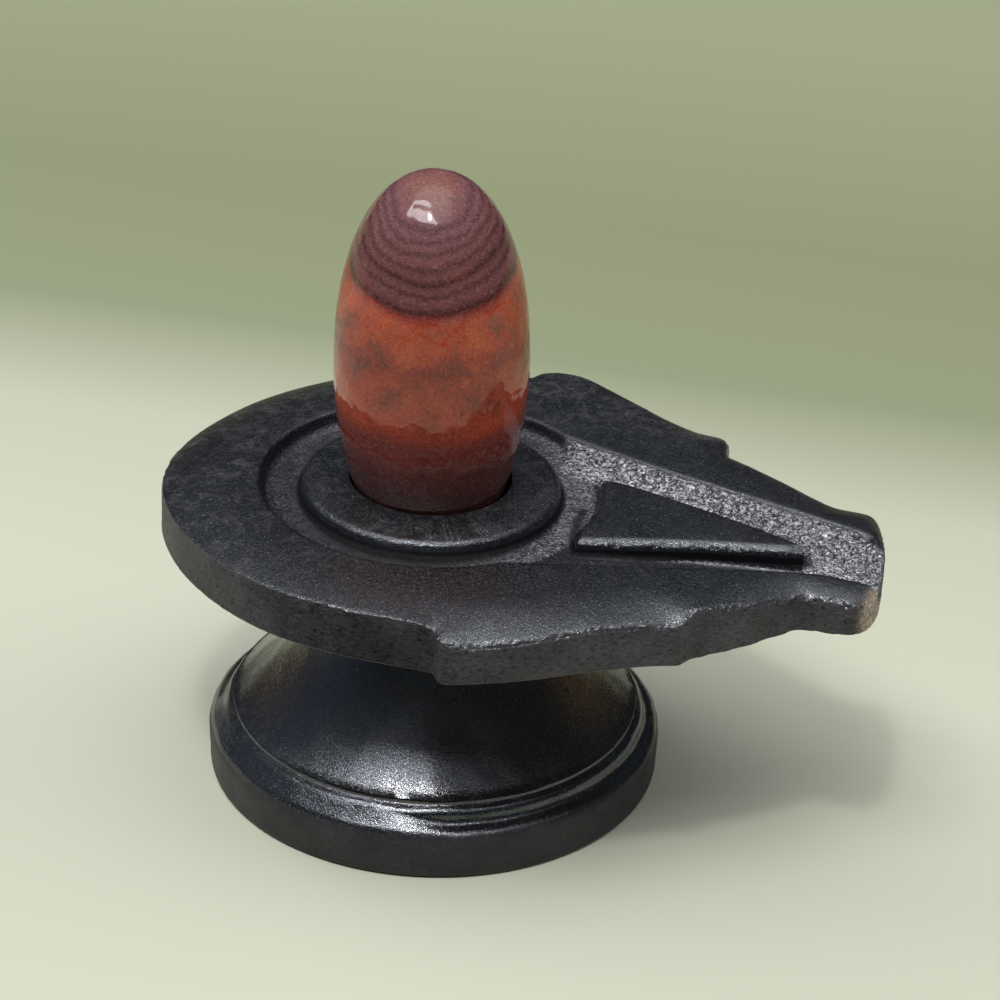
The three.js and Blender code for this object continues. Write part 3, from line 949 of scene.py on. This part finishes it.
def painted_shade_colour(tree, pit, marks, under):
    """Painted shade: the pits, the groove's foot and the front and foot walls are blended towards
    black.
    """
    dark = add(tree, "ShaderNodeMath", {0: pit, 1: 0.6}, operation="MULTIPLY").outputs[0]
    dark = add(tree, "ShaderNodeMath", {0: dark, 1: marks["painted_shade"]},
               operation="MAXIMUM").outputs[0]
    return add(tree, "ShaderNodeMix", {0: dark, 6: under, 7: colour("#050505")},
               data_type="RGBA").outputs[2]


def carved_gloss(tree, shader, fine, marks):
    """Satin on top, matte on the saw cuts, glossier on worn edges and pecked facets."""
    shine = add(tree, "ShaderNodeMath", {0: marks["worn_edge"], 1: marks["hammered"]},
                operation="MAXIMUM").outputs[0]
    shine = add(tree, "ShaderNodeMath", {0: marks["buffed"], 1: 0.6, 2: shine},
                operation="MULTIPLY_ADD", use_clamp=True).outputs[0]
    rough = add(tree, "ShaderNodeMapRange", {
        "Value": fine, "From Min": 0.3, "From Max": 0.7, "To Min": 0.17, "To Max": 0.28,
    }).outputs["Result"]
    for amount, change, clamped in (
            (marks["wall"], 0.3, False), (shine, -0.13, True), (marks["painted_shade"], 0.5, True)):
        rough = add(tree, "ShaderNodeMath", {0: amount, 1: change, 2: rough},
                    operation="MULTIPLY_ADD", use_clamp=clamped).outputs[0]
    tree.links.new(rough, shader.inputs["Roughness"])
    gloss = 0.5
    for name, change, clamped in (
            ("wall", -0.38, False), ("stain", -0.2, False), ("painted_shade", -0.5, True),
            ("hammered", 0.3, False)):
        gloss = add(tree, "ShaderNodeMath", {0: marks[name], 1: change, 2: gloss},
                    operation="MULTIPLY_ADD", use_clamp=clamped).outputs[0]
    tree.links.new(gloss, shader.inputs["Specular IOR Level"])
    shader.inputs["IOR"].default_value = 2.0
    shader.inputs["Specular Tint"].default_value = colour("#eef2fa")


def carved_relief(tree, shader, mm, pit, wrinkle, marks):
    """Grain about 0.6 mm, pits on the saw cuts, and the chisel's pecks in the channels."""
    peel = add(tree, "ShaderNodeTexNoise", {
        "Vector": mm, "Scale": 2.5, "Detail": 1.0, "Roughness": 0.4, "Distortion": 1.4})
    tooth = add(tree, "ShaderNodeMath", {0: marks["buffed"], 1: -0.55, 2: 1.0},
                operation="MULTIPLY_ADD")
    grain = add(tree, "ShaderNodeBump", {
        "Strength": tooth.outputs[0], "Distance": 0.00014, "Height": peel.outputs["Fac"]})
    pitted = add(tree, "ShaderNodeBump", {
        "Strength": 0.8, "Distance": 0.0003, "Height": pit,
        "Normal": grain.outputs["Normal"]}, invert=True)
    peck = add(tree, "ShaderNodeMath", {0: marks["hammered"], 1: wrinkle}, operation="MULTIPLY")
    pecked = add(tree, "ShaderNodeBump", {
        "Strength": 1.0, "Distance": 0.0013, "Height": peck.outputs[0],
        "Normal": pitted.outputs["Normal"]})
    tree.links.new(pecked.outputs["Normal"], shader.inputs["Normal"])


def black_carved_stone():
    """Black soapstone, sawn and carved by hand, blackened and oiled: its top is rubbed smooth and
    satin, its sawn walls are matte and warm grey, and its channels keep the chisel's pecks."""
    finish, tree, shader, mm = new_finish("black_carved_stone")
    marks = {
        name: add(tree, "ShaderNodeAttribute", attribute_name=name).outputs["Fac"]
        for name in ("wall", "hammered", "worn_edge", "bare", "stain", "dust", "painted_shade", "buffed")
    }
    fine = add(tree, "ShaderNodeTexNoise", {
        "Vector": mm, "Scale": 1.6, "Detail": 6.0, "Roughness": 0.75}).outputs["Fac"]
    fibre = add(tree, "ShaderNodeMapping", {
        "Vector": mm, "Scale": (1.0, 1.0, 0.22), "Rotation": (0.35, 0.0, 0.2)}).outputs[0]
    fibre = add(tree, "ShaderNodeTexNoise", {
        "Vector": fibre, "Scale": 1.8, "Detail": 5.0, "Roughness": 0.7}).outputs["Fac"]
    wrinkle = add(tree, "ShaderNodeMapping", {"Vector": mm, "Scale": PECK_STRETCH}).outputs[0]
    wrinkle = add(tree, "ShaderNodeTexNoise", {
        "Vector": wrinkle, "Scale": 0.75, "Detail": 3.0, "Roughness": 0.55, "Distortion": 2.4,
    }).outputs["Fac"]
    pit = sawn_pits(tree, mm, fine, marks)
    surface = blacked_colour(tree, mm, marks)
    surface = streaked_colour(tree, fibre, marks, surface)
    surface = dusted_colour(tree, mm, marks, surface)
    surface = crushed_colour_glints_and_shade(tree, mm, wrinkle, marks, surface)
    surface = broken_colour(tree, fibre, marks, surface)
    surface = sawn_colour(tree, mm, fine, marks, surface)
    surface = specks_and_painted_glints_colour(tree, mm, surface)
    # Painted shade darkens the pits, the groove's foot and the front and foot walls.
    surface = painted_shade_colour(tree, pit, marks, surface)
    tree.links.new(surface, shader.inputs["Base Color"])
    carved_gloss(tree, shader, fine, marks)
    carved_relief(tree, shader, mm, pit, wrinkle, marks)
    return finish


def painted_floor():
    """A sheet of matte sage paper; its colour darkens from the front to a band 200 to 300 mm back
    and lightens a little beyond, painted shade standing in for the light falling off behind the
    object.
    """
    finish, tree, shader, mm = new_finish("sage_paper")
    back = add(tree, "ShaderNodeSeparateXYZ", {0: mm}).outputs["Y"]
    away = add(tree, "ShaderNodeMapRange", {"Value": back, "From Min": 0.0, "From Max": 500.0})
    sage = add(tree, "ShaderNodeValToRGB", {"Fac": away.outputs["Result"]}, stops=[
        (0.1, "#bbbfab"), (0.27, "#b1b5a0"), (0.4, "#868d71"), (0.6, "#828969"),
        (1.0, "#949a7c")]).outputs["Color"]
    tree.links.new(sage, shader.inputs["Base Color"])
    tooth = add(tree, "ShaderNodeTexNoise", {"Vector": mm, "Scale": 1.2, "Detail": 3.0})
    bump = add(tree, "ShaderNodeBump", {
        "Strength": 0.2, "Distance": 0.0001, "Height": tooth.outputs["Fac"]})
    tree.links.new(bump.outputs["Normal"], shader.inputs["Normal"])
    shader.inputs["Roughness"].default_value = 0.9
    shader.inputs["Specular IOR Level"].default_value = 0.2
    return finish


# ------------------------------------------------------------------ where each finish shows


def mark(obj, name, amounts):
    """Keeps an amount from 0 to 1 at each vertex, for the finish to read."""
    layer = obj.data.attributes.new(name, "FLOAT", "POINT")
    layer.data.foreach_set("value", np.clip(amounts, 0, 1).astype(np.float32))


def plate_frame(here):
    """Places in the plate's own frame, for places in the part's."""
    turn = Matrix.Rotation(PLATE_ROLL, 3, "X") @ Matrix.Rotation(PLATE_FALL, 3, "Y")
    return (here - np.array(PLATE_CENTRE)) @ np.array(turn)


def sawn_walls(here, on_plate, facing, rim_gap):
    """How much each point is part of the plate's sawn side, and of the foot's."""
    radius = radii(here)
    upright = ease(np.abs(facing[:, 2]), 0.75, 0.45)
    plate_wall = upright * ease(rim_gap, 3.0, 2.0) * (on_plate[:, 2] > -12.5)
    foot_wall = ease(radius, 47.6, 48.2) * ease(here[:, 2], 11.0, 9.6) * 0.5
    return plate_wall, foot_wall


def chiselled(on_plate):
    """The pecked channel, and the pecks that ran on round the ring groove's floor."""
    x, _, z = on_plate.T
    ring = (np.abs(radii(on_plate) - PECKED_RING_RADIUS) < 3.2) & (z < -1.6) & (z > -4.5)
    return np.maximum(in_channel(on_plate), ring * (0.04 + 0.2 * ease(x, 8, 26)))


def painted_shade_amounts(on_plate, island_gap, plate_wall, foot_wall):
    """Painted shade: darkening in the foot of the groove and along the island's near foot, widest
    at the front, on the plate's walls at the front, and on the foot's wall.
    """
    x, y, z = on_plate.T
    collar = radii(on_plate)
    near_island = ease(island_gap, 1.4, 0.6) * (y < np.interp(x, [34, 80], [4, -2]))
    front = ease(np.degrees(np.arctan2(-y, x)), -10, 60) * ease(x, -30, -5)
    foot = ease(collar - COLLAR_RADIUS, 1.6 + 2.2 * front, 0.6 + 0.9 * front)
    foot = np.maximum(foot * (collar > COLLAR_RADIUS - 1), near_island)
    front_wall = plate_wall * ease(np.abs(x - 3), 30, 2) * (y < -30)
    in_groove = ease(z, -1.5, -2.3) * (z > -6)
    shade_here = np.maximum(foot * in_groove * 0.85, front_wall * 0.32)
    return np.maximum(shade_here, foot_wall * 0.6)


def worn_edges(here, on_plate, facing, rim_gap, island_gap):
    """Edges that hands and cloths polished: the plate's rim, the collar, the island, the foot."""
    z = on_plate[:, 2]
    rim = ease(rim_gap, 2.2, 0.4) * ease(z, -5.5, -4.0) * ease(facing[:, 2], 0.1, 0.35)
    collar = ease(np.abs(radii(on_plate) - COLLAR_RADIUS + 0.3), 1.3, 0.5) * ease(z, -2.0, -1.0)
    island = ease(island_gap, 1.4, 0.5) * ease(z, -2.0, -1.0)
    foot = ease(np.abs(radii(here) - 48.0), 1.2, 0.3) * ease(np.abs(here[:, 2] - 10.6), 1.4, 0.5)
    return np.max([rim, collar, island, foot], axis=0)


def bare_breaks(on_plate, facing):
    """Fresh breaks at the spout's tip and at the step behind the spout."""
    x, y, _ = on_plate.T
    tip = ease(x, 91.8, 94.4) * ease(facing[:, 0], 0.2, 0.8) * ease(y, -4.0, -9.0)
    step = ease(np.hypot(x - 56.6, y - 35.5), 4.5, 2.5) * ease(facing[:, 0], 0.3, 0.6)
    return np.maximum(tip, step * 0.4)


def flank_stain(here):
    """Where the blacking wore off the flank, at its left and its right."""
    flank = ease(here[:, 2], 15, 24) * (here[:, 2] < 55) * (radii(here) < 44)
    left = ease(degrees_from(here, 192), 44, 14)
    right = ease(degrees_from(here, 4), 36, 14)
    return flank * np.maximum(left * 0.55, right * 0.8)


def mark_base(base):
    """Keeps on the base where each part of its finish shows."""
    here, facing = places(base), normals(base)
    on_plate = plate_frame(here)
    x, y, z = on_plate.T
    rim_gap = rim_gaps(on_plate, lowest=-13)
    island_gap = line_gaps(on_plate, ISLAND, closed=True)
    plate_wall, foot_wall = sawn_walls(here, on_plate, facing, rim_gap)
    underside = ease(facing[:, 2], -0.6, -0.9) * (z > -13) * 0.8
    mark(base, "wall", np.max([plate_wall, foot_wall, underside], axis=0))
    mark(base, "hammered", chiselled(on_plate))
    # Painted shade, which also dulls the polish there: the groove's foot, the front walls and the
    # foot's wall.
    mark(base, "painted_shade", painted_shade_amounts(on_plate, island_gap, plate_wall, foot_wall))
    mark(base, "worn_edge", worn_edges(here, on_plate, facing, rim_gap, island_gap))
    mark(base, "buffed", (z < -14) * ease(radii(here), 48.7, 48.0))
    mark(base, "bare", bare_breaks(on_plate, facing))
    mark(base, "stain", flank_stain(here))
    dusty = np.max([ease(x, 10, -45), ease(y, 24, 42), ease(radii(on_plate), 27, 25) * 0.9],
                   axis=0)
    mark(base, "dust", ease(facing[:, 2], 0.6, 0.9) * (0.15 + 0.85 * dusty))


# ------------------------------------------------------------------ studio

FLOOR_SIZE = 6.0                       # metres
CAMERA_PLACE = (140.1, -533.9, 356.7)
CAMERA_AIM = (12.2, 2.9, 62.4)
CAMERA_ROLL = math.radians(2.05)


def make_floor():
    """A flat sheet of paper under the object."""
    bpy.ops.object.select_all(action="DESELECT")
    bpy.ops.mesh.primitive_plane_add(size=FLOOR_SIZE, location=(0, 0, 0))
    floor = bpy.context.object
    floor.name = "floor"
    floor.data.materials.append(painted_floor())


def soft_light(name, place, aim, size, power, tint, mirrored=True):
    """An oval soft light, in metres and watts; a fill is not mirrored in the polish."""
    bpy.ops.object.light_add(type="AREA", location=place)
    light = bpy.context.object
    light.name = name
    light.data.shape = "ELLIPSE"
    light.data.size = size[0]
    light.data.size_y = size[1]
    light.data.energy = power
    light.data.color = colour(tint)[:3]
    away = Vector(aim) - Vector(place)
    light.rotation_euler = away.to_track_quat("-Z", "Y").to_euler()
    light.visible_glossy = mirrored


def make_world():
    """A ceiling that is bright overhead, in a dark room with a dim blue side."""
    world = bpy.data.worlds.new("studio")
    bpy.context.scene.world = world
    world.use_nodes = True
    tree = world.node_tree
    toward = add(tree, "ShaderNodeTexCoord").outputs["Generated"]
    up, left = (
        add(tree, "ShaderNodeVectorMath", {0: toward, 1: way},
            operation="DOT_PRODUCT").outputs["Value"]
        for way in ((0.0, -0.1, 0.99), (-0.92, 0.0, 0.39)))
    sky = add(tree, "ShaderNodeValToRGB", {"Fac": up}, stops=[
        (0.1, "#08090c"), (0.25, "#14171b"), (0.42, "#292d32"), (0.62, "#373b3f"),
        (0.8, "#6e7174"), (0.98, "#ffffff")]).outputs["Color"]
    blue = add(tree, "ShaderNodeMapRange", {
        "Value": left, "From Min": 0.7, "From Max": 1.0, "To Max": 0.4}).outputs["Result"]
    sky = add(tree, "ShaderNodeMix", {0: blue, 6: sky, 7: colour("#646a78")}, data_type="RGBA")
    background = tree.nodes["Background"].inputs
    tree.links.new(sky.outputs[2], background["Color"])
    background["Strength"].default_value = 2.1


def make_lights():
    """A small hard key inside a wide soft one, high in front, and a fill at each side."""
    soft_light("key", place=(0.0, -0.60, 1.36), aim=(0, 0, 0.06), size=(0.12, 0.12), power=4.0,
               tint="#fffaf2")
    soft_light("soft_key", place=(-0.22, -0.62, 1.42), aim=(0, 0, 0.06), size=(1.15, 0.46),
               power=10.5, tint="#fbfaff")
    soft_light("fill_left", place=(-1.2, 0.3, 0.85), aim=(0, 0, 0), size=(1.5, 1.5), power=10.0,
               tint="#fbfaff", mirrored=False)
    soft_light("fill_right", place=(1.2, 0.4, 0.85), aim=(0, 0, 0), size=(1.5, 1.5), power=9.0,
               tint="#fbfaff", mirrored=False)


def make_camera():
    """A long lens, a little over half a metre away, looking down at the stone."""
    place = Vector(CAMERA_PLACE) * MM
    aim = Vector(CAMERA_AIM) * MM
    bpy.ops.object.camera_add(location=place)
    camera = bpy.context.object
    roll = Matrix.Rotation(CAMERA_ROLL, 3, "Z")
    turn = (aim - place).to_track_quat("-Z", "Y").to_matrix() @ roll
    camera.rotation_euler = turn.to_euler()
    camera.data.lens = 108
    camera.data.sensor_width = 36
    camera.data.clip_end = 20
    bpy.context.scene.camera = camera


# ------------------------------------------------------------------ build

base = make_base()
mark_base(base)
stone = make_stone()

for piece, finish in ((base, black_carved_stone()), (stone, polished_river_stone())):
    piece.data.materials.clear()
    piece.data.materials.append(finish)

for piece, node_name, slot in (
    (base, "yoni_base", "black_carved_stone"),
    (stone, "lingam_stone", "polished_river_stone"),
):
    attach(piece, "root")
    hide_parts(node_name)

make_floor()
make_world()
make_lights()
make_camera()
bpy.context.scene.view_settings.view_transform = "Standard"
